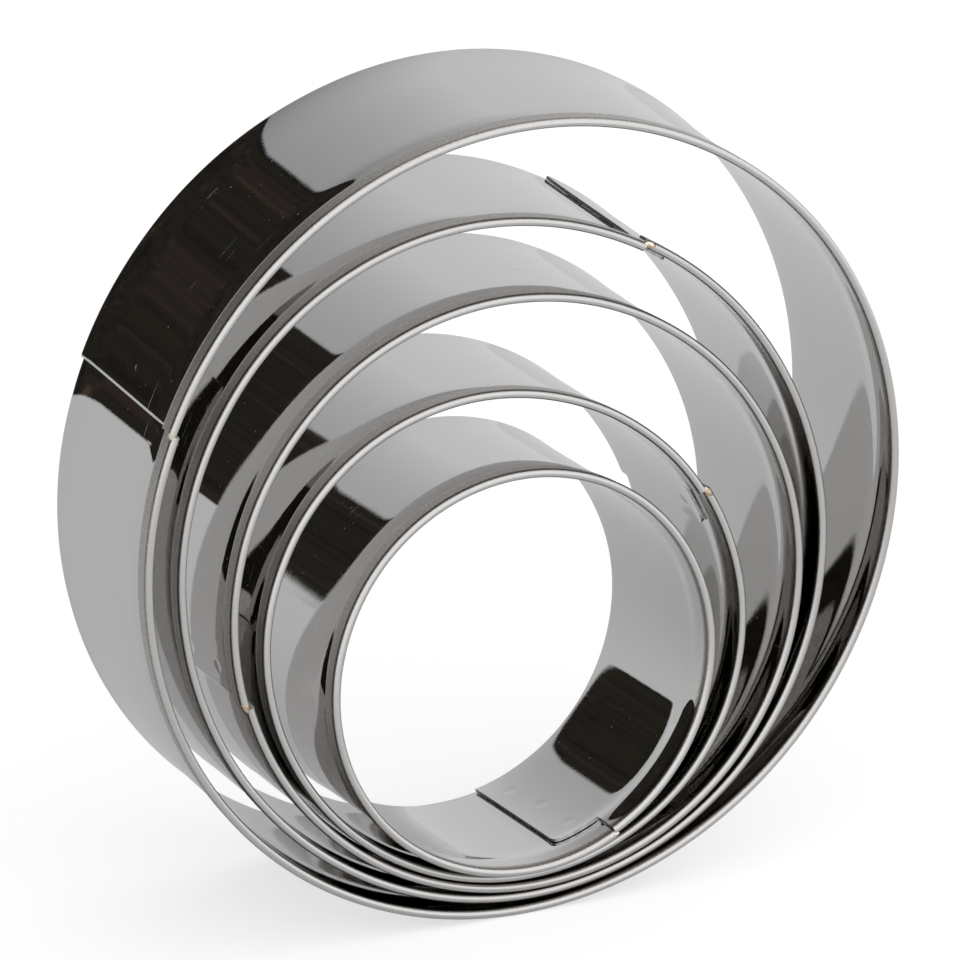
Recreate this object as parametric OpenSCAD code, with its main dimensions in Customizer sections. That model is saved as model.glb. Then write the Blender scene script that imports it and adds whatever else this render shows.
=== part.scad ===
// Nest of round plain biscuit cutters, standing on their rims with the hems to the front.
// Each cutter is one strip of steel: its front edge is folded outwards into a hem, its ends
// lap and are spot welded, and a bead of weld closes the hem where its ends butt.

/* [Set] */
// Outside diameter of the smallest cutter
smallest_d = 50.8; // [45:0.1:56]
// Growth in diameter from one cutter to the next larger one
step_d = 12.7; // [11:0.1:16]
// Height of every cutter, from the rim of its hem to its cutting edge
band_h = 28; // [24:0.5:38]
// Thickness of the steel strip
sheet = 0.4; // [0.3:0.05:0.5]

/* [Hem] */
// Clear gap inside the fold of the hem
fold_gap = 0.3; // [0.15:0.05:0.4]
// Height of the flange that the fold turns back, from the rim
flange_h = 2.8; // [2.2:0.1:3.6]
// Gap between the flange's raw edge and the wall
edge_gap = 0.14; // [0.06:0.02:0.3]

/* [Seam] */
// Width of the lap of the strip's two ends
lap_w = 6.5; // [5:0.1:9]
// Distance from the rim back to the inner end, which is notched to clear the hem
notch_h = 4.6; // [3.8:0.1:6]
// Corner radius of the inner end
corner_r = 1.2; // [0.4:0.1:2]
// Gap between the two layers of the lap
lap_gap = 0.1; // [0.06:0.01:0.16]
// Gap between the butted ends of the hem
butt_gap = 0.2; // [0.1:0.05:0.4]
// Number of spot welds along each lap
spot_count = 3; // [2:1:4]
// Diameter of a weld nugget
nugget_d = 2.2; // [1.4:0.1:2.6]
// Diameter of the mark that the welding tip leaves on both faces
mark_d = 2.8; // [2:0.1:3.2]
// Depth of that mark
mark_depth = 0.07; // [0.04:0.01:0.1]
// Distance of the end welds from the ends of the lap
spot_margin = 2.6; // [2:0.1:4]
// Diameter of the weld bead on the butted hem
bead_d = 1.3; // [1:0.1:1.5]

/* [Seam places] */
// Seam of the largest cutter, in degrees anticlockwise from +X, seen from the hem side
seam_1 = 156; // [0:1:359]
// Seam of the second cutter
seam_2 = 63; // [0:1:359]
// Seam of the third cutter
seam_3 = 191; // [0:1:359]
// Seam of the fourth cutter
seam_4 = 26; // [0:1:359]
// Seam of the smallest cutter
seam_5 = 295; // [0:1:359]

/* [Nest] */
// Side on which the second cutter rests in the largest, in degrees from straight down
rest_2 = -13; // [-40:1:40]
// Side on which the third cutter rests in the second
rest_3 = 25; // [-40:1:40]
// Side on which the fourth cutter rests in the third
rest_4 = -24; // [-40:1:40]
// Side on which the smallest cutter rests in the fourth
rest_5 = 24; // [-40:1:40]
// How far the second cutter is pushed in behind the rim of the largest
depth_2 = 2.9; // [-2:0.1:5]
// How far the third cutter is pushed in behind the rim of the second
depth_3 = 1.1; // [-2:0.1:5]
// How far the fourth cutter is pushed in behind the rim of the third
depth_4 = -0.2; // [-2:0.1:5]
// How far the smallest cutter is pushed in behind the rim of the fourth
depth_5 = -0.3; // [-2:0.1:5]
// Clearance where one cutter rests in the next
rest_gap = 0.15; // [0.1:0.05:0.3]

/* [Hidden] */
seams = [seam_1, seam_2, seam_3, seam_4, seam_5];
rests = [0, rest_2, rest_3, rest_4, rest_5];
depths = [0, depth_2, depth_3, depth_4, depth_5];
cutters = [1:len(seams)];
spots = [1:spot_count];

down = 270;
half_turn = 180;
full_turn = 360;
arc_facets = 180;
small_facets = 48;

// Each lap steps the strip out by its own thickness and the gap: half of the step is a
// larger radius, and half is a shifted centre, of the strip's second half turn
lap_step = sheet + lap_gap;
shift = lap_step / 2;

// The fold is half a ring of this outer radius, and it stands proud of the wall
fold_r = sheet + fold_gap / 2;
proud = sheet + fold_gap;

// Overrun of cutting shapes
over = sheet;

// Outer wall radius of a cutter's first half turn: its mean diameter is the nominal one
function wall_r(k) = (smallest_d + (len(seams) - k) * step_d) / 2 - shift / 2;

// Angle that a width takes up on a cutter's wall
function span(k, width) = width / wall_r(k) * half_turn / PI;

// The arcs of a cutter that face a direction or come near to it, each as the place of its
// centre and its outer wall radius
near = 20;
function facing(k, angle) =
    let (
        past = (angle - seams[k - 1] + 2 * full_turn) % full_turn,
        on_first = past < half_turn + near || past > full_turn - span(k, lap_w) - near,
        on_second = past > half_turn - near || past < near)
    [
        if (on_first) [[0, 0], wall_r(k)],
        if (on_second) [shift * [cos(seams[k - 1]), sin(seams[k - 1])], wall_r(k) + shift]];

// How far one round shape moves in a direction until it is as near as it may come to the
// round wall around it
function slack(wall, inner, toward) =
    let (
        between = inner[0] - wall[0],
        room = wall[1] - sheet - inner[1] - proud - rest_gap,
        along = between * toward)
    sqrt(room * room - between * between + along * along) - along;

function settle(k, angle) = min([
    for (wall = facing(k - 1, angle), inner = facing(k, angle))
        slack(wall, inner, [cos(angle), sin(angle)])]);

// Rigid frames as 4 by 4 matrices
function moved(v) = [[1, 0, 0, v.x], [0, 1, 0, v.y], [0, 0, 1, v.z], [0, 0, 0, 1]];
function about_x(a) = [[1, 0, 0, 0], [0, cos(a), -sin(a), 0], [0, sin(a), cos(a), 0], [0, 0, 0, 1]];
function about_y(a) = [[cos(a), 0, sin(a), 0], [0, 1, 0, 0], [-sin(a), 0, cos(a), 0], [0, 0, 0, 1]];

// A cutter rests on its hem and its cutting edge, so its axis leans down to the rear. One
// that is pushed in behind the edge of the cutter around it rests on that edge.
function lean(depth) = atan(proud / (band_h - max(depth, 0) - fold_r));

// Frame of the largest cutter, on the table
function standing() = moved([0, 0, band_h * sin(lean(0)) + wall_r(1) * cos(lean(0))]) * about_x(-lean(0));

// Frame of a cutter in the frame of the cutter around it
function seated(k) =
    let (
        side = rests[k - 1],
        angle = down + side,
        room = settle(k, angle))
    moved([room * cos(angle), depths[k - 1] + fold_r, room * sin(angle)])
    * about_y(-side) * about_x(-lean(depths[k - 1])) * about_y(side)
    * moved([0, -fold_r, 0]);

function nested(k) = k == 1 ? standing() : nested(k - 1) * seated(k);

// Front and rear ends of a nested cutter, from its tilted rim and cutting edge
function reach(m, r) = r * sqrt(1 - m[1][1] * m[1][1]);
function front_y(m, k) = m[1][3] - reach(m, wall_r(k) + proud);
function rear_y(m, k) = m[1][3] + band_h * m[1][1] + reach(m, wall_r(k));
middle_y = (min([for (k = cutters) front_y(nested(k), k)])
    + max([for (k = cutters) rear_y(nested(k), k)])) / 2;

// Puts a cutter drawn about the Z axis, with its rim up at zero and its seam on the X axis,
// into its place in the nest
module in_nest(k) {
    multmatrix(moved([0, -middle_y, 0]) * nested(k))
        rotate([90, 0, 0])
            rotate([0, 0, seams[k - 1]])
                children();
}

// Section of the wall of outer radius r, from a given distance behind the rim
module wall_outline(r, front) {
    translate([r - sheet, -band_h])
        square([sheet, band_h - front]);
}

// Section of the hem: half a ring, and a flange that leans back to the wall
module hem_outline(r) {
    translate([r + fold_gap / 2, -fold_r])
        difference() {
            circle(fold_r, $fn = small_facets);
            circle(fold_gap / 2, $fn = small_facets);
            translate([-fold_r - over, -fold_r - over])
                square([2 * (fold_r + over), fold_r + over]);
        }
    polygon([
        [r + fold_gap, -fold_r], [r + proud, -fold_r],
        [r + edge_gap + sheet, -flange_h], [r + edge_gap, -flange_h]]);
}

// Turn of an outline about the axis, from a start past the seam and through an angle. The
// starts are whole half turns, so that what meets there meets exactly.
module turn(start, angle) {
    rotate([0, 0, start])
        rotate_extrude(angle = angle, $fn = arc_facets)
            children();
}

module hemmed_turn(r, start, angle) {
    turn(start, angle) {
        wall_outline(r, fold_r);
        hem_outline(r);
    }
}

// Inner end of the strip laid flat, with the notch beside the hem and one round corner
module tail_outline() {
    tall = band_h - notch_h;
    translate([-lap_w, -over])
        square([lap_w + over, tall + over - corner_r]);
    translate([corner_r - lap_w, -over])
        square([lap_w + over - corner_r, tall + over]);
    translate([corner_r - lap_w, tall - corner_r])
        circle(corner_r, $fn = small_facets);
}

// Inner end of the strip, which runs back from the seam under the outer end
module tail(k) {
    intersection() {
        turn(0, -2 * span(k, lap_w))
            wall_outline(wall_r(k), notch_h);
        translate([0, 0, -band_h])
            rotate([90, 0, 90])
                linear_extrude(wall_r(k) + over)
                    tail_outline();
    }
}

// The whole strip: the tail, the first half turn, and the second half turn, which ends in a
// straight edge over the tail
module strip(k) {
    tail(k);
    hemmed_turn(wall_r(k), 0, half_turn);
    translate([shift, 0, 0])
        hemmed_turn(wall_r(k) + shift, half_turn, half_turn - span(k, butt_gap));
}

// Carries a shape drawn along X to the middle of the lap, at the height of one spot weld
module at_spot(k, n) {
    tall = band_h - notch_h - 2 * spot_margin;
    rotate([0, 0, -span(k, lap_w / 2)])
        translate([0, 0, -notch_h - spot_margin - tall * (n - 1) / (spot_count - 1)])
            children();
}

// Round disc across the wall, between two distances from the axis
module radial_disc(d, from, to) {
    translate([from, 0, 0])
        rotate([0, 90, 0])
            cylinder(d = d, h = to - from, $fn = small_facets);
}

// Weld metal, from the middle of one layer to the middle of the other
module nugget(k, n) {
    at_spot(k, n)
        radial_disc(nugget_d, wall_r(k) - sheet / 2, wall_r(k) + lap_gap + sheet / 2);
}

// Shallow marks of the welding tips, inside and outside the lap
module tip_marks(k, n) {
    inside = wall_r(k) - sheet;
    outside = wall_r(k) + lap_step;
    at_spot(k, n) {
        radial_disc(mark_d, inside - over, inside + mark_depth);
        radial_disc(mark_d, outside - mark_depth, outside + over);
    }
}

// Ball of weld metal that closes the butted hem, flush with the outside of its outer end
module ball(k) {
    rotate([0, 0, -span(k, butt_gap / 2)])
        translate([wall_r(k) + lap_step + proud - bead_d / 2, 0, -sheet])
            sphere(d = bead_d, $fn = small_facets);
}

module band(k) {
    color("silver")
        in_nest(k)
            difference() {
                strip(k);
                for (n = spots) {
                    nugget(k, n);
                    tip_marks(k, n);
                }
                ball(k);
            }
}

module spot(k, n) {
    color("dimgray")
        in_nest(k)
            nugget(k, n);
}

module bead(k) {
    color("darkgoldenrod")
        in_nest(k)
            ball(k);
}

for (k = cutters) {
    band(k);
    for (n = spots) {
        spot(k, n);
    }
    bead(k);
}
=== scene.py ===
import bpy
import math
import numpy as np
from mathutils import Matrix


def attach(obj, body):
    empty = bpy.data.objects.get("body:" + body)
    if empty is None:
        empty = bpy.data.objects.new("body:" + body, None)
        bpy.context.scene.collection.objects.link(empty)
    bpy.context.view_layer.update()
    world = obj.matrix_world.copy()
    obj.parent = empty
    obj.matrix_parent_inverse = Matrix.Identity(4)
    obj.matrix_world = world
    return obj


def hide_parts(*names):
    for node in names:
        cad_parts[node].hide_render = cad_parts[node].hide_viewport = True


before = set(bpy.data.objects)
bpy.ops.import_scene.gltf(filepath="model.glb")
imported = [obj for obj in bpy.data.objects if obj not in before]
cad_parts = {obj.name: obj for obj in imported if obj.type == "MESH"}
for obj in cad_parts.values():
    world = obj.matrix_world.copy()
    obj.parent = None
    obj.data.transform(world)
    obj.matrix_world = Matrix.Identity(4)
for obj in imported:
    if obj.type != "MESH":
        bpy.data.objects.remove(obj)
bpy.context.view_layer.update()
print("frame loaded,", len(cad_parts), "nodes")

mm = 0.001
turn = 2 * math.pi

# lengths in mm, angles in degrees anticlockwise from +X seen from the hem side
nest = {
    "sheet": 0.4,  # thickness of the strip
    "height": 28.0,  # rim to cutting edge
    "proud": 0.7,  # hem over the wall
    "seatBack": 0.55,  # the hem rests this far behind the rim
    "clearance": 0.15,  # between two cutters that touch
    "lapStep": 0.5,  # the strip steps out by this much in one turn
    "lap": 6.5,
    "centre": (0.0, -16.59),  # x and y of the centre of the largest rim
    "look": (-80, 80, 2),  # directions tried for the seat, from, to, by
    "endSpan": 20.0,  # degrees past the seam where the outer end counts as the wall
}
# flat: radius of the flatter quarters over that of the tighter ones
# long: the way of the longest diameter
# side: the seat's place from the lowest point; depth: how far behind the next larger rim it sits
# marks: weld spots as (mm past the seam, mm behind rim); extra: marks beside them
cutters = {
    1: {"radius": 50.8, "flat": 3.2, "long": 99.0, "seam": 159.2, "side": 0.0, "depth": 0.0,
        "marks": ((-2.4, 25.2), (-3.3, 15.4), (-4.3, 6.0)), "extra": ((-1.7, 5.7), (1.5, 5.8))},
    2: {"radius": 43.75, "flat": 9.6, "long": 127.0, "seam": 60.0, "side": -18.0, "depth": 1.8,
        "marks": ((-3.2, 24.6), (-3.4, 16.0), (-3.0, 7.6)), "extra": ()},
    3: {"radius": 38.0, "flat": 4.2, "long": 130.0, "seam": 195.2, "side": 26.0, "depth": 0.8,
        "marks": ((-3.0, 24.9), (-3.3, 15.8), (-3.5, 7.4)), "extra": ()},
    4: {"radius": 31.6, "flat": 6.0, "long": 143.0, "seam": 31.3, "side": -17.0, "depth": 0.9,
        "marks": ((-3.4, 24.4), (-3.1, 16.4), (-3.3, 7.8)), "extra": ()},
    5: {"radius": 25.2, "flat": 0.4, "long": 38.0, "seam": 297.0, "side": 24.0, "depth": -1.2,
        "marks": ((-3.8, 23.0), (-2.9, 15.7), (-2.8, 7.9)), "extra": ()},
}
ovalShare = 0.2122  # 2 / (3 * pi), amplitude of the smooth oval as a share of flat


# Support of the oval, the distance of its tangent from the centre:
# radius + e * cos(2 * (angle - long)), with e = ovalShare * flat.
def support(k, angle):
    c = cutters[k]
    return c["radius"] + ovalShare * c["flat"] * np.cos(2 * (angle - math.radians(c["long"])))


# How fast the support changes with the angle: -2 * e * sin(2 * (angle - long)).
def supportSlope(k, angle):
    c = cutters[k]
    return -2 * ovalShare * c["flat"] * np.sin(2 * (angle - math.radians(c["long"])))


# The strip's wall grows by the lap step in one turn, evenly, from half a step under the
# nominal wall: step * (turns past the seam - 1 / 2).
def growth(past):
    return nest["lapStep"] * (past / turn - 0.5)


# Point of the wall whose outward direction is angle: support * outward + slope of support * forward.
def onWall(k, past, out):
    angle = past + math.radians(cutters[k]["seam"])
    reach = support(k, angle) + growth(past) + out
    along = supportSlope(k, angle) + nest["lapStep"] / turn
    return reach * np.cos(angle) - along * np.sin(angle), reach * np.sin(angle) + along * np.cos(angle)


# Radius of curvature at the seam: radius - 3 * e * cos(2 * (seam - long)). It turns mm round
# the band into angles.
def bendAtSeam(k):
    c = cutters[k]
    return c["radius"] - 3 * ovalShare * c["flat"] * math.cos(2 * math.radians(c["seam"] - c["long"]))


# Rotations by a about X and about Y.
def aboutX(a):
    return np.array([[1, 0, 0], [0, math.cos(a), -math.sin(a)], [0, math.sin(a), math.cos(a)]])


def aboutY(a):
    return np.array([[math.cos(a), 0, math.sin(a)], [0, 1, 0], [-math.sin(a), 0, math.cos(a)]])


# Lean of a cutter that rests on its hem and its edge: tangent = hem / length between the two.
def leanAt(depth):
    return math.atan(nest["proud"] / (nest["height"] - max(depth, 0) - nest["seatBack"]))


# Each cutter rests in the next larger one on its hem and its cutting edge. It is moved towards its
# side until the nearest pair of walls is a clearance apart: the least over the directions tried of
# (inner wall - outer wall - hem - clearance) / cos(turn). It leans by the hem over the height.
def seatFrames():
    lean = leanAt(0)
    down = 1.5 * math.pi
    foot = support(1, down) + growth((down - math.radians(cutters[1]["seam"])) % turn)
    x, y = nest["centre"]
    z = nest["height"] * math.sin(lean) + foot * math.cos(lean)
    frames = {1: (aboutX(-lean), np.array([x, y, z]))}
    first, last, by = nest["look"]
    tried = np.radians(np.arange(first, last + 1, by))
    for k in range(2, 6):
        c = cutters[k]
        side = math.radians(c["side"])
        angle = side - math.pi / 2 + tried
        around = (angle - math.radians(cutters[k - 1]["seam"])) % turn
        inner = support(k - 1, angle) + growth(around) - nest["sheet"]
        past = (angle - math.radians(c["seam"])) % turn
        outer = support(k, angle) + growth(np.where(past < math.radians(nest["endSpan"]), turn, past))
        room = np.min((inner - outer - nest["proud"] - nest["clearance"]) / np.cos(tried))
        tilt = aboutY(-side) @ aboutX(-leanAt(c["depth"])) @ aboutY(side)
        seat = room * np.array([math.sin(side), 0, -math.cos(side)])
        seat = seat + np.array([0, c["depth"] + nest["seatBack"], 0])
        place = seat - tilt @ np.array([0, nest["seatBack"], 0])
        turned, origin = frames[k - 1]
        frames[k] = (turned @ tilt, origin + turned @ place)
    return frames


frames = seatFrames()
print("seats worked out")

view = {
    "from": (-589.54, -1214.80, 644.55),  # mm
    "azimuth": -25.9431,
    "elevation": 23.7169,
    "roll": 1.6499,
    "lens": 450.93,
    "sensor": 36.0,
    "clip": (0.05, 50.0),  # m
}


# A long lens on the fitted eye point: x is right, y is up and z points backwards.
def makeCamera():
    az, el = math.radians(view["azimuth"]), math.radians(view["elevation"])
    forward = np.array([-math.sin(az) * math.cos(el), math.cos(az) * math.cos(el), -math.sin(el)])
    right = np.array([math.cos(az), math.sin(az), 0.0])
    up = np.cross(right, forward)
    r = math.radians(view["roll"])
    right, up = right * math.cos(r) + up * math.sin(r), up * math.cos(r) - right * math.sin(r)
    data = bpy.data.cameras.new("camera")
    data.lens = view["lens"]
    data.sensor_width = view["sensor"]
    data.clip_start, data.clip_end = view["clip"]
    cam = bpy.data.objects.new("camera", data)
    bpy.context.scene.collection.objects.link(cam)
    eye = np.array(view["from"]) * mm
    cam.matrix_world = Matrix([
        [right[0], up[0], -forward[0], eye[0]],
        [right[1], up[1], -forward[1], eye[1]],
        [right[2], up[2], -forward[2], eye[2]],
        [0, 0, 0, 1]])
    bpy.context.scene.camera = cam


makeCamera()
bpy.context.scene.view_settings.view_transform = "Standard"
print("camera placed")


# A new node with its settings.
def put(tree, kind, **settings):
    node = tree.nodes.new(kind)
    for name, value in settings.items():
        setattr(node, name, value)
    return node


# A socket takes a link or a plain value.
def feed(tree, socket, value):
    if isinstance(value, bpy.types.NodeSocket):
        tree.links.new(value, socket)
    else:
        socket.default_value = value


# One sum of up to three values.
def calc(tree, operation, a, b=None, c=None, clamp=False):
    node = put(tree, "ShaderNodeMath", operation=operation, use_clamp=clamp)
    for i, value in enumerate((a, b, c)):
        if value is not None:
            feed(tree, node.inputs[i], value)
    return node.outputs[0]


# Grey or colour ramp, straight between its stops, which are (position, colour) pairs.
def ramp(tree, value, stops):
    node = put(tree, "ShaderNodeValToRGB")
    elements = node.color_ramp.elements
    while len(elements) < len(stops):
        elements.new(0.5)
    for element, (position, colour) in zip(elements, stops):
        element.position = position
        element.color = (colour, colour, colour, 1) if isinstance(colour, float) else (*colour, 1)
    feed(tree, node.inputs[0], value)
    return node.outputs[0]


# a where the share is 0 and b where it is 1, or a blend of the two.
def mix(tree, share, a, b, kind="RGBA", blend="MIX"):
    node = put(tree, "ShaderNodeMix", data_type=kind)
    if kind == "RGBA":
        node.blend_type = blend
        first, second, out = node.inputs[6], node.inputs[7], node.outputs[2]
    else:
        first, second, out = node.inputs[2], node.inputs[3], node.outputs[0]
    feed(tree, node.inputs[0], share)
    feed(tree, first, (*a, 1) if isinstance(a, tuple) and len(a) == 3 else a)
    feed(tree, second, (*b, 1) if isinstance(b, tuple) and len(b) == 3 else b)
    return out


# 0 below low, 1 above high, smooth between.
def step(tree, value, low, high):
    node = put(tree, "ShaderNodeMapRange", interpolation_type="SMOOTHSTEP")
    feed(tree, node.inputs[0], value)
    node.inputs[1].default_value = low
    node.inputs[2].default_value = high
    return node.outputs[0]


# Noise on a vector that is first stretched and turned about its third axis.
def noise(tree, vector, scale, detail=2.0, roughness=0.5, stretch=(1, 1, 1), turned=0.0):
    move = put(tree, "ShaderNodeMapping")
    move.inputs["Rotation"].default_value = (0, 0, turned)
    move.inputs["Scale"].default_value = stretch
    feed(tree, move.inputs[0], vector)
    node = put(tree, "ShaderNodeTexNoise")
    feed(tree, node.inputs["Vector"], move.outputs[0])
    node.inputs["Scale"].default_value = scale
    node.inputs["Detail"].default_value = detail
    node.inputs["Roughness"].default_value = roughness
    return node.outputs["Fac"]


# azimuth and height of a direction in degrees, azimuth from +Y towards +X
studio = {
    "far": 0.60,  # backdrop at farAt
    "farAt": (2.0, 23.0),
    "perAzimuth": 0.0068,  # gets brighter to the right
    "perHeight": -0.012,  # and darker upwards
    "dimmest": 0.32,
    "brightest": 0.77,
    "cast": (1.0, 1.008, 1.03),  # its colour
    "front": 1.25,  # softboxes over and behind the camera
    "inFront": (0.45, -0.10),  # they begin between these values of y and z
    "overhead": (0.62, 0.88),
    "edge": (  # right edge of the dark room as (height, azimuth)
        (-15.0, -30.6), (-2.0, -29.0), (6.6, -22.6), (19.0, -11.0), (24.0, -8.84), (45.0, -7.4)),
    "edgeSpan": (-57.0, 23.0),  # azimuths that the ramp of the edge covers
    "edgeSoft": 0.15,
    "roomLeft": (-82.0, -78.0),
    "roomTop": (62.0, 52.0),
    "streakScale": 3.0,
    "streakDetail": 6.0,
    "streakRoughness": 0.62,
    "streakStretch": (4, 4, 5),
    "streaks": (  # faint brown, olive and blue in the dark
        (0.0, (0.008, 0.008, 0.008)), (0.40, (0.0175, 0.0155, 0.0145)), (0.47, (0.027, 0.025, 0.017)),
        (0.53, (0.016, 0.015, 0.014)), (0.58, (0.045, 0.032, 0.026)), (0.63, (0.018, 0.018, 0.019)),
        (0.70, (0.10, 0.062, 0.043)), (0.78, (0.03, 0.04, 0.055)), (1.0, (0.07, 0.07, 0.07))),
    "bounces": 16,  # light goes to and fro between two walls
    "floorSide": 0.49,  # m, half the table
    "floorColour": 0.68,  # for the light and the reflections
    "floorSeen": 0.40,  # for the camera, with the lift that keeps it white outside the shadows
    "floorLift": 0.66,
}


# Light by direction. The backdrop behind the set is far + perAzimuth * (azimuth - farAt) +
# perHeight * (height - farAt). Left of its edge is a dark room, and broad softboxes are in
# front and above. The camera sees white.
def makeWorld():
    world = bpy.data.worlds.new("studio")
    bpy.context.scene.world = world
    world.use_nodes = True
    tree = world.node_tree
    tree.nodes.clear()
    where = put(tree, "ShaderNodeTexCoord").outputs["Generated"]
    split = put(tree, "ShaderNodeSeparateXYZ")
    feed(tree, split.inputs[0], where)
    x, y, z = split.outputs
    azimuth = calc(tree, "MULTIPLY", calc(tree, "ARCTAN2", x, y), 180 / math.pi)
    height = calc(tree, "MULTIPLY", calc(tree, "ARCSINE", z), 180 / math.pi)

    # backdrop
    farAzimuth, farHeight = studio["farAt"]
    shade = studio["far"] - farAzimuth * studio["perAzimuth"]
    shade = calc(tree, "MULTIPLY_ADD", azimuth, studio["perAzimuth"], shade)
    shade = calc(tree, "MULTIPLY_ADD", calc(tree, "SUBTRACT", height, farHeight), studio["perHeight"], shade)
    shade = calc(tree, "MINIMUM", calc(tree, "MAXIMUM", shade, studio["dimmest"]), studio["brightest"])

    # softboxes: all that lies in front of the set or well above it
    soft = calc(tree, "MAXIMUM", step(tree, y, *studio["inFront"]), step(tree, z, *studio["overhead"]))
    shade = mix(tree, soft, shade, studio["front"], kind="FLOAT")

    # dark room: its edge runs down and to the left, by height
    low, high = studio["edge"][0][0], studio["edge"][-1][0]
    left, right = studio["edgeSpan"]
    share = calc(tree, "MULTIPLY_ADD", height, 1 / (high - low), -low / (high - low), clamp=True)
    stops = [((up - low) / (high - low), (aside - left) / (right - left)) for up, aside in studio["edge"]]
    edge = calc(tree, "MULTIPLY_ADD", ramp(tree, share, stops), right - left, left)
    inside = step(tree, calc(tree, "SUBTRACT", edge, azimuth), -studio["edgeSoft"], studio["edgeSoft"])
    inside = calc(tree, "MULTIPLY", inside, step(tree, azimuth, *studio["roomLeft"]))
    inside = calc(tree, "MULTIPLY", inside, step(tree, height, *studio["roomTop"]))
    streaks = noise(
        tree, where, studio["streakScale"], detail=studio["streakDetail"],
        roughness=studio["streakRoughness"], stretch=studio["streakStretch"])
    tint = ramp(tree, streaks, studio["streaks"])
    grey = put(tree, "ShaderNodeCombineColor")
    for socket, times in zip(grey.inputs, studio["cast"]):
        feed(tree, socket, calc(tree, "MULTIPLY", shade, times))
    lit = mix(tree, inside, grey.outputs[0], tint)

    seen = put(tree, "ShaderNodeLightPath").outputs["Is Camera Ray"]
    seen = mix(tree, seen, lit, (1.0, 1.0, 1.0))
    back = put(tree, "ShaderNodeBackground")
    feed(tree, back.inputs["Color"], seen)
    back.inputs["Strength"].default_value = 1.0
    out = put(tree, "ShaderNodeOutputWorld")
    tree.links.new(back.outputs[0], out.inputs[0])


# A plain white table. For the camera a little light is added, so it stays white and
# keeps the shadows.
def makeFloor():
    side = studio["floorSide"]
    mesh = bpy.data.meshes.new("table")
    corners = [(-side, -side, 0), (side, -side, 0), (side, side, 0), (-side, side, 0)]
    mesh.from_pydata(corners, [], [(0, 1, 2, 3)])
    table = bpy.data.objects.new("table", mesh)
    bpy.context.scene.collection.objects.link(table)
    mat = bpy.data.materials.new("tableWhite")
    mat.use_nodes = True
    tree = mat.node_tree
    tree.nodes.clear()
    white = studio["floorColour"]
    matt = put(tree, "ShaderNodeBsdfDiffuse")
    glow = put(tree, "ShaderNodeEmission")
    seen = put(tree, "ShaderNodeLightPath").outputs["Is Camera Ray"]
    pale = studio["floorSeen"]
    feed(tree, matt.inputs["Color"], mix(tree, seen, (white, white, white), (pale, pale, pale)))
    feed(tree, glow.inputs["Strength"], calc(tree, "MULTIPLY", seen, studio["floorLift"]))
    both = put(tree, "ShaderNodeAddShader")
    tree.links.new(matt.outputs[0], both.inputs[0])
    tree.links.new(glow.outputs[0], both.inputs[1])
    out = put(tree, "ShaderNodeOutputMaterial")
    tree.links.new(both.outputs[0], out.inputs[0])
    mesh.materials.append(mat)


makeWorld()
makeFloor()
bpy.context.scene.cycles.max_bounces = studio["bounces"]
bpy.context.scene.cycles.glossy_bounces = studio["bounces"]
print("studio lit")

steel = {
    "colour": (0.60, 0.590, 0.578),
    "toneSpan": 0.10,  # the fine lines change its tone by this much
    "roughness": 0.015,
    "roughSpan": 0.05,
    "hemRoughness": 0.34,
    "worn": 0.45,  # roughness of specks and scratches
    "foldShadeAndPits": (  # times the colour, painted shade: darkest at the sides of the fold and where it meets the wall, dull, and full up to its crest; the pits make it uneven
        (0.0, (0.30, 0.27, 0.24)), (0.42, (0.66, 0.64, 0.61)), (0.66, (1.0, 0.985, 0.95)),
        (1.0, (1.0, 1.0, 1.0))),
    "heat": (  # times the colour, from cold steel to the weld
        (0.0, (1.0, 1.0, 1.0)), (0.25, (0.98, 0.90, 0.74)), (0.6, (0.80, 0.56, 0.34)),
        (1.0, (0.42, 0.30, 0.24))),
    "lines": (60, 9000, 1),  # grains per metre, round the band and across it
    "slow": (25, 60, 1),
    "specks": (1900, 1900, 1),
    "speckFrom": (0.76, 0.80),
    "scratches": (90, 5200, 1),
    "scratchFrom": (0.74, 0.78),
    "scratchTurn": 0.35,
    "patches": (120, 120, 1),  # where the scratches are
    "patchFrom": (0.5, 0.6),
    "pits": (2500, 2500, 1),
    "pitShare": 0.9,
    "brushing": (1400, 5200, 1),
    "bump": 0.00001,  # m
    "wallBump": 0.14,
    "hemBump": 0.8,
}
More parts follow.
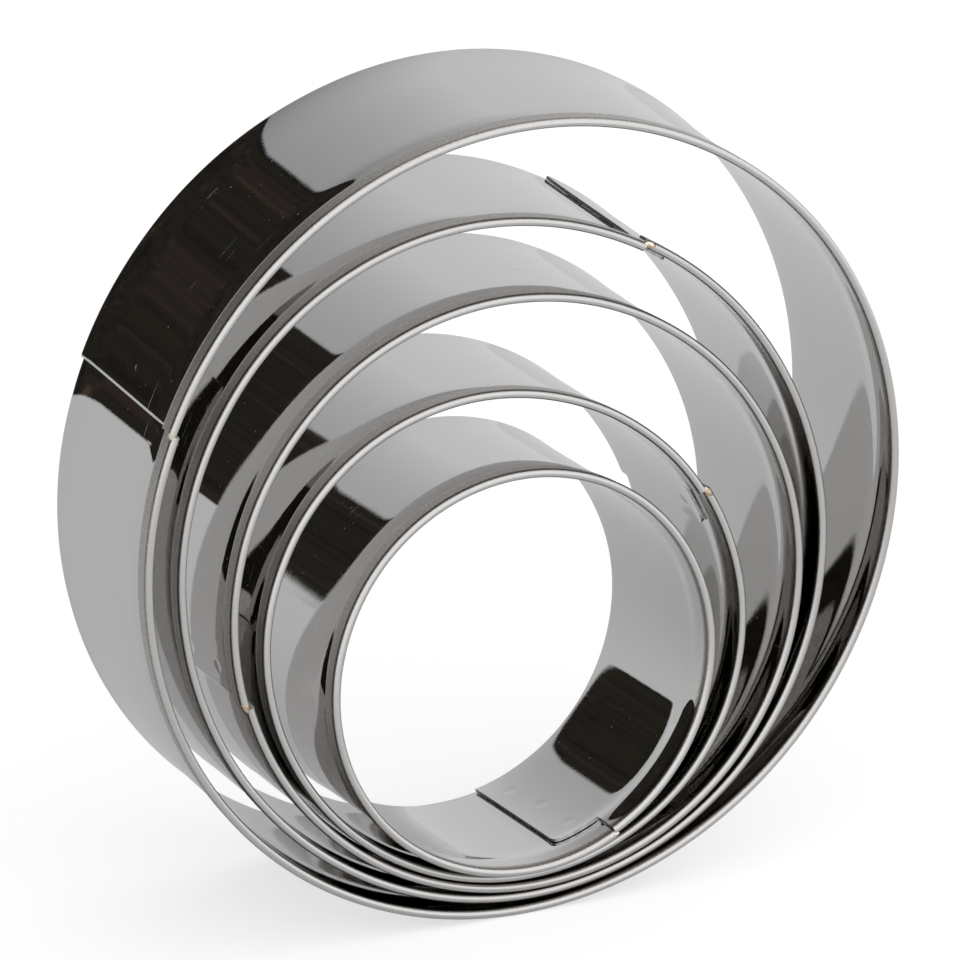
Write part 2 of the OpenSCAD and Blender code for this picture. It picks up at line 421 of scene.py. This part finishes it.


# Bright rolled strip: clear along the wall with specks and a few scratches, pitted on the hem,
# with painted shade at the fold's sides, where it meets the wall and over the flange. The pattern
# follows the piece's own map in metres. The roughness is
# roughness + roughSpan * (slow grain - 1 / 2) on the wall.
def makeSteel():
    mat = bpy.data.materials.new("brightSteel")
    mat.use_nodes = True
    tree = mat.node_tree
    shader = tree.nodes["Principled BSDF"]
    shader.inputs["Metallic"].default_value = 1.0
    place = put(tree, "ShaderNodeUVMap", uv_map="strip").outputs[0]
    hem = put(tree, "ShaderNodeAttribute", attribute_name="hem").outputs["Fac"]
    # fine lines round the band
    lines = noise(tree, place, 1.0, detail=3.0, roughness=0.6, stretch=steel["lines"])
    slow = noise(tree, place, 1.0, detail=2.0, stretch=steel["slow"])
    slow = calc(tree, "SUBTRACT", slow, 0.5)
    rough = calc(tree, "MULTIPLY_ADD", slow, steel["roughSpan"], steel["roughness"])
    rough = mix(tree, hem, rough, steel["hemRoughness"], kind="FLOAT")
    specks = step(tree, noise(tree, place, 1.0, detail=1.0, stretch=steel["specks"]), *steel["speckFrom"])
    scratches = noise(tree, place, 1.0, detail=1.0, stretch=steel["scratches"], turned=steel["scratchTurn"])
    scratches = step(tree, scratches, *steel["scratchFrom"])
    patches = step(tree, noise(tree, place, 1.0, stretch=steel["patches"]), *steel["patchFrom"])
    scratches = calc(tree, "MULTIPLY", scratches, patches)
    rough = mix(tree, calc(tree, "MAXIMUM", specks, scratches), rough, steel["worn"], kind="FLOAT")
    feed(tree, shader.inputs["Roughness"], rough)
    tone = calc(tree, "MULTIPLY_ADD", calc(tree, "SUBTRACT", lines, 0.5), steel["toneSpan"], 1.0)
    colour = mix(tree, 1.0, steel["colour"], tone, blend="MULTIPLY")
    crest = put(tree, "ShaderNodeAttribute", attribute_name="crest").outputs["Fac"]
    pits = noise(tree, place, 1.0, detail=4.0, roughness=0.7, stretch=steel["pits"])
    pitted = calc(tree, "MULTIPLY_ADD", pits, steel["pitShare"], -steel["pitShare"] / 2)
    # painted shade: the colour is darkened at the fold's sides, where it meets the wall and over the flange,
    # by the crest mark, and unevenly by the pits
    foldShadeAndPits = ramp(tree, calc(tree, "ADD", crest, pitted), steel["foldShadeAndPits"])
    colour = mix(tree, 1.0, colour, foldShadeAndPits, blend="MULTIPLY")
    heat = put(tree, "ShaderNodeAttribute", attribute_name="heat").outputs["Fac"]
    colour = mix(tree, 1.0, colour, ramp(tree, heat, steel["heat"]), blend="MULTIPLY")
    feed(tree, shader.inputs["Base Color"], colour)
    bump = put(tree, "ShaderNodeBump")
    bump.inputs["Distance"].default_value = steel["bump"]
    feed(tree, bump.inputs["Strength"], calc(tree, "MULTIPLY_ADD", hem, steel["hemBump"], steel["wallBump"]))
    brushed = noise(tree, place, 1.0, detail=3.0, roughness=0.6, stretch=steel["brushing"])
    feed(tree, bump.inputs["Height"], mix(tree, hem, brushed, pits, kind="FLOAT"))
    tree.links.new(bump.outputs[0], shader.inputs["Normal"])
    return mat


fused = {
    "grain": 1400.0,  # per metre
    "mottle": (0.42, 0.62),
    "roughSpan": 0.2,
    "bump": 0.00006,  # m
    "bumpStrength": 0.6,
}


# Fused metal: mottled between two colours, uneven in gloss and height.
def makeWeldFinish(name, light, dark, roughness):
    mat = bpy.data.materials.new(name)
    mat.use_nodes = True
    tree = mat.node_tree
    shader = tree.nodes["Principled BSDF"]
    shader.inputs["Metallic"].default_value = 1.0
    where = put(tree, "ShaderNodeTexCoord").outputs["Object"]
    cloud = noise(tree, where, fused["grain"], detail=3.0)
    feed(tree, shader.inputs["Base Color"], mix(tree, step(tree, cloud, *fused["mottle"]), dark, light))
    span = fused["roughSpan"]
    feed(tree, shader.inputs["Roughness"], calc(tree, "MULTIPLY_ADD", cloud, span, roughness - span / 2))
    bump = put(tree, "ShaderNodeBump")
    bump.inputs["Distance"].default_value = fused["bump"]
    bump.inputs["Strength"].default_value = fused["bumpStrength"]
    feed(tree, bump.inputs["Height"], cloud)
    tree.links.new(bump.outputs[0], shader.inputs["Normal"])
    return mat


brightSteel = makeSteel()
weldGold = makeWeldFinish("weldGold", (0.90, 0.84, 0.72), (0.55, 0.42, 0.28), 0.26)
weldSteel = makeWeldFinish("weldSteel", (0.56, 0.555, 0.55), (0.40, 0.39, 0.38), 0.30)
cutSteel = makeWeldFinish("cutSteel", (0.58, 0.575, 0.57), (0.42, 0.41, 0.40), 0.38)
print("finishes made")

band = {
    "foldGap": 0.3,
    "foldTurn": (4, -184, 17),  # degrees from and to, and rows, round the fold
    "edgeGap": 0.18,  # raw edge of the flange to the wall
    "flange": 2.8,
    "flangeRows": (0, 0.04, 0.12, 0.4, 0.8, 1.2, 1.6, 1.95),  # from its raw edge forward
    "flangeShade": 0.40,  # painted shade on the flange: between the darkest painted shade at the fold's sides, 0, and its crest, 1
    "wallFrom": 0.8,  # first row of the wall behind the rim
    "fineRows": (0.1, 0.27),  # up to this far before the notch, and their step
    "notch": 4.6,  # the inner end starts this far behind the rim
    "notchRows": (0, 0.1, 0.3, 0.6, 0.9, 1.2),
    "wideRows": (1.65, 0.5, 0.46),  # from past the notch to before the cutting edge, and their step
    "edgeRows": (0.25, 0.12, 0.04, 0),  # before the cutting edge
    "edgeRound": 0.12,  # both edges get thinner over this width
    "edgeThin": (0.8, 0.05),  # share taken off at the edge itself, and the least that stays
    "hemEnd": 1.2,  # the hem's finish fades out on the wall in the mm before this
    "neck": 0.2,  # the wall is pressed in beside the flange
    "neckAt": 3.3,
    "neckWide": 1.6,
    "flare": 0.15,  # and opens a little towards the cutting edge
    "lip": 0.08,  # most of all at the edge itself
    "flareWide": 7.0,
    "innerShare": 0.5,  # share of it that the inner cutters have, so they clear the next one
    "corner": 1.2,
    "buttGap": 0.2,
    "lapColumns": 25,
    "startColumns": (6, 21),  # mm past the seam, and columns
    "mainColumns": 329,
    "endColumns": (9, 36),  # mm before the outer end, and columns
    "endDrop": 0.06,  # the outer end is bent in a little, over this width
    "endWide": 0.25,
    "endTone": 0.6,  # how matt that is
    "markWide": 1.7,
    "markDeep": 0.03,
    "markRim": (0.35, 1.25, 0.3),  # its height as a share, place and width in radii
    "markOn": 0.9,  # only where the sheet faces outwards by more than this
    "rimWide": 0.28,  # the worn crescent, in radii
    "rimTone": 0.85,
    "heatWide": 1.3,
    "heatFrom": 3.6,  # mm along the strip from its raw edge
    "waves": ((5, 0.012), (8, 0.009), (13, 0.006), (21, 0.003)),  # per turn, and mm
    "waveAcross": (0.6, 9),  # share that changes across the strip, over this many mm
    "waveSeed": 40,
}


# Middle line of the sheet as (out, back) rows: the flange from its raw edge to the front,
# the half round fold, then the wall back to the cutting edge. The wall lies at
# -sheet / 2 - neck * exp(-(from neckAt / neckWide)^2) + flare * near^2 + lip * near^6, where near
# goes from 0 to 1 at the edge. Also its half thickness, which tapers at both edges as
# sheet / 2 * sqrt(1 - thin * (1 - near)^2), and 0 to 1 marks of the hem and of its crest; the
# crest mark sets where shade is painted: none on the crest, most at the fold's sides.
def stripSection(k):
    t, gap = nest["sheet"], band["foldGap"]
    foldR, midR = t + gap / 2, (t + gap) / 2
    back = band["flange"] - np.array(band["flangeRows"])
    lean = (gap - band["edgeGap"]) / (band["flange"] - foldR)
    flange = np.stack([gap + t / 2 - lean * (back - foldR), back], 1)
    a = np.radians(np.linspace(*band["foldTurn"]))
    fold = np.stack([gap / 2 + midR * np.cos(a), foldR + midR * np.sin(a)], 1)
    short, fine = band["fineRows"]
    start, end, wide = band["wideRows"]
    down = np.concatenate([
        np.arange(band["wallFrom"], band["notch"] - short, fine),
        band["notch"] + np.array(band["notchRows"]),
        np.arange(band["notch"] + start, nest["height"] - end, wide),
        nest["height"] - np.array(band["edgeRows"])])
    down = np.unique(np.round(down, 5))
    neck = band["neck"] * np.exp(-((down - band["neckAt"]) / band["neckWide"]) ** 2)
    near = np.clip(1 - (nest["height"] - down) / band["flareWide"], 0, 1)
    share = 1 if k == 1 else band["innerShare"]
    flare = (band["flare"] * near ** 2 + band["lip"] * near ** 6) * share
    wall = np.stack([-t / 2 - neck + flare, down], 1)
    line = np.concatenate([flange, fold, wall])
    mark = np.concatenate([np.ones(len(flange) + len(fold)), np.clip(band["hemEnd"] - down, 0, 1)])
    # crest mark: 1 where no shade is painted, 0 at the fold's sides and where the wall begins, a set level
    # of painted shade over the flange
    crest = np.concatenate([
        np.full(len(flange), band["flangeShade"]), np.clip(-np.sin(a), 0, 1),
        np.clip(down - band["wallFrom"], 0, 1)])
    along = np.concatenate([[0], np.cumsum(np.hypot(*np.diff(line, axis=0).T))])
    near = np.minimum(along, along[-1] - along) / band["edgeRound"]
    thin, least = band["edgeThin"]
    half = t / 2 * np.sqrt(np.clip(1 - thin * np.clip(1 - near, 0, 1) ** 2, least, 1))
    slope = np.gradient(line, along, axis=0)
    slope /= np.linalg.norm(slope, axis=1, keepdims=True)
    normal = np.stack([slope[:, 1], -slope[:, 0]], 1)
    notchRow = len(flange) + len(fold) + int(np.argmin(abs(down - band["notch"])))
    return line, normal, half, mark, crest, along, notchRow


# Slight unevenness of the rolled strip: a few long low waves round it, each
# size * sin(count * angle + p) * (1 + share * sin(back / across + q)).
def waves(k, angle, back):
    rng = np.random.default_rng(band["waveSeed"] + k)
    share, across = band["waveAcross"]
    total = 0
    for count, size in band["waves"]:
        p, q = rng.uniform(0, turn, 3)[:2]
        total = total + size * np.sin(count * angle + p) * (1 + share * np.sin(back / across + q))
    return total


# Dished weld marks: each is a round hollow with a low rim, as wide as the welding tip:
# deep * (exp(-away^4) - high * exp(-((away - at) / spread)^2)), away in radii of the mark.
# The outer end is pressed in and the inner end out, so the layers meet at the spot. An
# extra mark on the lap is in the outer layer only, and any mark past the seam is pressed in.
def pressed(k, past, back):
    r = bendAtSeam(k)
    high, at, spread = band["markRim"]
    total = 0
    for beyond, marks in ((False, cutters[k]["marks"]), (True, cutters[k]["extra"])):
        for across, height in marks:
            for whole, sign in ((0, 1), (turn, -1)):
                if beyond and across < 0 and whole == 0:
                    continue
                if across > 0:
                    sign = -1
                away = np.hypot((past - whole) * r - across, back - height) / (band["markWide"] / 2)
                dish = np.exp(-away ** 4) - high * np.exp(-((away - at) / spread) ** 2)
                total = total + sign * band["markDeep"] * dish
    return total


# The worn rims of those marks: a crescent one radius from the middle, on the side of the
# hem, 0 to 1: side * exp(-((away - 1) / rimWide)^2).
def rims(k, past, back):
    r = bendAtSeam(k)
    total = 0
    for across, height in cutters[k]["marks"] + cutters[k]["extra"]:
        for whole in (0, turn):
            away = np.hypot((past - whole) * r - across, back - height) / (band["markWide"] / 2)
            side = np.clip((height - back) / (band["markWide"] / 2), 0, 1)
            total = total + side * np.exp(-((away - 1) / band["rimWide"]) ** 2)
    return np.clip(total, 0, 1)


# The strip's two faces on one grid. Columns are angles past the seam: from the inner end,
# under the lap, round to the outer end. The radius grows by the lap step in one turn. The
# inner end's corners are cut back along its rows by corner - sqrt(corner^2 - (corner - d)^2).
def stripGrid(k):
    r = bendAtSeam(k)
    line, normal, half, mark, crest, along, notchRow = stripSection(k)
    lap = nest["lap"] / r
    tail = np.linspace(1, 0, band["lapColumns"] + 1)[:-1]
    (start, startColumns), (end, endColumns) = band["startColumns"], band["endColumns"]
    main = np.concatenate([
        np.linspace(0, start / r, startColumns + 1)[:-1],
        np.linspace(start / r, turn - end / r, band["mainColumns"] + 1)[:-1],
        np.linspace(turn - end / r, turn - band["buttGap"] / r, endColumns)])
    d = np.clip(line[:, 1] - band["notch"], 0, band["corner"])
    cut = band["corner"] - np.sqrt(band["corner"] ** 2 - (band["corner"] - d) ** 2)
    past = np.concatenate([-tail[:, None] * (lap - cut[None] / r), np.repeat(main[:, None], len(line), 1)])
    out, back = line[:, 0][None], line[:, 1][None]
    uneven = waves(k, past, back) + pressed(k, past, back) * (normal[:, 0][None] > band["markOn"])
    onBack = back > band["flange"]
    toEnd = np.clip(1 - ((turn - past) * r - band["buttGap"]) / band["endWide"], 0, 1) * onBack
    uneven = uneven - band["endDrop"] * toEnd
    butt = np.minimum(abs(past), abs(past - turn)) * r
    inward = np.maximum(along[None] - band["heatFrom"], 0)
    heat = np.exp(-(np.hypot(butt, inward) / band["heatWide"]) ** 2)
    faces = []
    for sign in (1, -1):
        x, z = onWall(k, past, uneven + out + sign * half * normal[:, 0])
        faces.append(np.stack([x, back + sign * half * normal[:, 1] + 0 * past, z], -1))
    uv = np.stack([past * cutters[k]["radius"], along[None] + 0 * past], -1) * mm
    keep = np.ones((past.shape[0] - 1, past.shape[1] - 1), bool)
    keep[:len(tail), :notchRow] = False
    mark, crest = (np.repeat(values[None], past.shape[0], 0) for values in (mark, crest))
    worn = np.maximum(band["endTone"] * toEnd, band["rimTone"] * rims(k, past, back) * onBack)
    mark = np.maximum(mark, worn)
    return faces, keep, uv, mark, crest, heat


# Quads of a sheet with two faces: cell by cell on both, and a strip of quads along every
# edge between a kept cell and none.
def sheetFaces(keep):
    n, m = keep.shape[0] + 1, keep.shape[1] + 1
    index = np.arange(n * m).reshape(n, m)
    other = index + n * m
    i, j = np.nonzero(keep)
    quads = [
        np.stack([index[i, j], index[i, j + 1], index[i + 1, j + 1], index[i + 1, j]], 1),
        np.stack([other[i, j], other[i + 1, j], other[i + 1, j + 1], other[i, j + 1]], 1)]
    wide = np.zeros((n + 1, m + 1), bool)
    wide[1:-1, 1:-1] = keep
    low = wide[1:-1, 1:] & ~wide[1:-1, :-1]  # cell above row j, none below
    i, j = np.nonzero(low)
    quads.append(np.stack([index[i, j], index[i + 1, j], other[i + 1, j], other[i, j]], 1))
    high = ~wide[1:-1, 1:] & wide[1:-1, :-1]
    i, j = np.nonzero(high)
    quads.append(np.stack([index[i + 1, j], index[i, j], other[i, j], other[i + 1, j]], 1))
    left = wide[1:, 1:-1] & ~wide[:-1, 1:-1]
    i, j = np.nonzero(left)
    quads.append(np.stack([index[i, j + 1], index[i, j], other[i, j], other[i, j + 1]], 1))
    right = ~wide[1:, 1:-1] & wide[:-1, 1:-1]
    i, j = np.nonzero(right)
    quads.append(np.stack([index[i, j], index[i, j + 1], other[i, j + 1], other[i, j]], 1))
    return np.concatenate(quads)


sharpAngle = 40


# A mesh object from whole arrays, with unused points dropped.
def makeMesh(name, points, quads, uv, marks, materials):
    used, flat = np.unique(quads, return_inverse=True)
    quads = flat.reshape(quads.shape)
    mesh = bpy.data.meshes.new(name)
    mesh.vertices.add(len(used))
    mesh.vertices.foreach_set("co", points[used].astype(np.float32).ravel())
    mesh.loops.add(quads.size)
    mesh.loops.foreach_set("vertex_index", quads.astype(np.int32).ravel())
    mesh.polygons.add(len(quads))
    mesh.polygons.foreach_set("loop_start", np.arange(0, quads.size, quads.shape[1], dtype=np.int32))
    mesh.update(calc_edges=True)
    mesh.polygons.foreach_set("use_smooth", np.ones(len(quads), bool))
    layer = mesh.uv_layers.new(name="strip")
    layer.data.foreach_set("uv", uv[used][quads.ravel()].astype(np.float32).ravel())
    for label, values in marks.items():
        layer = mesh.attributes.new(label, "FLOAT", "POINT")
        layer.data.foreach_set("value", values[used].astype(np.float32))
    mesh.set_sharp_from_angle(angle=math.radians(sharpAngle))
    mesh.validate()
    piece = bpy.data.objects.new(name, mesh)
    bpy.context.scene.collection.objects.link(piece)
    for material in materials:
        mesh.materials.append(material)
    return piece


# A cutter's own points, in mm, to their place in the nest, in m.
def toRow(k, points):
    turned, origin = frames[k]
    return (points @ turned.T + origin) * mm


# The band of one cutter: both faces of the strip, and its cut edges in their own finish.
def makeBand(k):
    faces, keep, uv, mark, crest, heat = stripGrid(k)
    points = np.concatenate([toRow(k, f.reshape(-1, 3)) for f in faces])
    uv = np.concatenate([uv.reshape(-1, 2)] * 2)
    inside = np.zeros(mark.size)
    marks = {
        "hem": np.concatenate([inside, mark.ravel()]),
        # the inner face gets no painted shade
        "crest": np.concatenate([inside + 1, crest.ravel()]),
        "heat": np.concatenate([heat.ravel()] * 2)}
    quads = sheetFaces(keep)
    piece = makeMesh(f"band_{k}", points, quads, uv, marks, (brightSteel, cutSteel))
    cut = np.arange(len(quads)) >= 2 * keep.sum()
    piece.data.polygons.foreach_set("material_index", cut.astype(np.int32))
    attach(piece, f"cutter_{k}")
    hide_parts(f"cutter_{k}_band")
    return piece


bands = {k: makeBand(k) for k in cutters}
low = min(v.co.z for b in bands.values() for v in b.data.vertices)
print("bands made, lowest point", round(low / mm, 3), "mm")


ballGrid = (20, 32)  # rows and columns


# Closed uneven ball: a sphere's latitude and longitude grid, each axis with its own half
# size. Its radius is 1 + wobble * (sin(2 * lon + p0) * sin(lat)^2 +
# 0.6 * cos(3 * lat + p1) * sin(lon + p2) * sin(lat)).
def blob(size, wobble, seed):
    rows, columns = ballGrid
    rng = np.random.default_rng(seed)
    lat = np.linspace(0, math.pi, rows + 1)[1:-1][:, None]
    lon = np.linspace(0, turn, columns, endpoint=False)[None]
    p = rng.uniform(0, turn, 3)
    level = np.sin(lat)
    low = np.sin(2 * lon + p[0]) * level ** 2
    radius = 1 + wobble * (low + 0.6 * np.cos(3 * lat + p[1]) * np.sin(lon + p[2]) * level)
    ball = np.stack([radius * level * np.cos(lon), radius * level * np.sin(lon), radius * np.cos(lat)], -1)
    points = np.concatenate([ball.reshape(-1, 3), [[0, 0, 1]], [[0, 0, -1]]]) * np.array(size)
    i, j = np.mgrid[0:rows - 2, 0:columns]
    a, b = (i * columns + j).ravel(), (i * columns + (j + 1) % columns).ravel()
    body = np.stack([a, a + columns, b + columns, b], 1)
    ring = np.arange(columns)
    top, bottom = (rows - 1) * columns, (rows - 1) * columns + 1
    last = (rows - 2) * columns
    caps = np.concatenate([
        np.stack([np.full(columns, top), ring, (ring + 1) % columns], 1),
        np.stack([np.full(columns, bottom), last + (ring + 1) % columns, last + ring], 1)])
    return points, body, caps


# Origin and axes (round the band, rearward, outward) of a place on the strip's wall.
def placeOnStrip(k, past, back, out):
    angle = past + math.radians(cutters[k]["seam"])
    x, z = onWall(k, past, out)
    origin = np.array([x, back, z])
    around = np.array([-math.sin(angle), 0, math.cos(angle)])
    outward = np.array([math.cos(angle), 0, math.sin(angle)])
    return origin, np.stack([around, [0, 1, 0], outward])


# A blob as an object at a place on the strip.
def makeBlob(name, k, origin, axes, kind, seed, material):
    points, body, caps = blob(kind["size"], kind["wobble"], seed)
    points = toRow(k, points @ axes + origin)
    faces = body.tolist() + caps.tolist()
    mesh = bpy.data.meshes.new(name)
    mesh.from_pydata(points.tolist(), [], faces)
    mesh.polygons.foreach_set("use_smooth", np.ones(len(faces), bool))
    mesh.materials.append(material)
    piece = bpy.data.objects.new(name, mesh)
    bpy.context.scene.collection.objects.link(piece)
    return piece


bead = {
    "size": (1.0, 0.56, 0.56),  # half sizes along the hem, rearward, outward
    "back": 0.52,
    "before": 0.55,  # mm before the whole turn
    "wobble": 0.10,
    "seed": 70,
}
nugget = {
    "size": (1.1, 1.1, 0.25),
    "wobble": 0.02,
    "seed": 7,
}


# The bead wraps the end of the fold; a nugget lies in the two layers at each spot.
def makeWelds(k):
    r = bendAtSeam(k)
    origin, axes = placeOnStrip(k, turn - bead["before"] / r, bead["back"], band["foldGap"] / 2)
    ball = makeBlob(f"bead_{k}", k, origin, axes, bead, bead["seed"] + k, weldGold)
    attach(ball, f"cutter_{k}")
    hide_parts(f"cutter_{k}_bead")
    order = sorted(cutters[k]["marks"], key=lambda m: m[1])
    for n, (across, height) in enumerate(order, 1):
        origin, axes = placeOnStrip(k, across / r, height, nest["lapStep"] / 2 - nest["sheet"] / 2)
        spot = makeBlob(f"spot_{k}_{n}", k, origin, axes, nugget, nugget["seed"] * k + n, weldSteel)
        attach(spot, f"cutter_{k}")
        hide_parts(f"cutter_{k}_spot_{n}")


for k in cutters:
    makeWelds(k)
print("welds made")
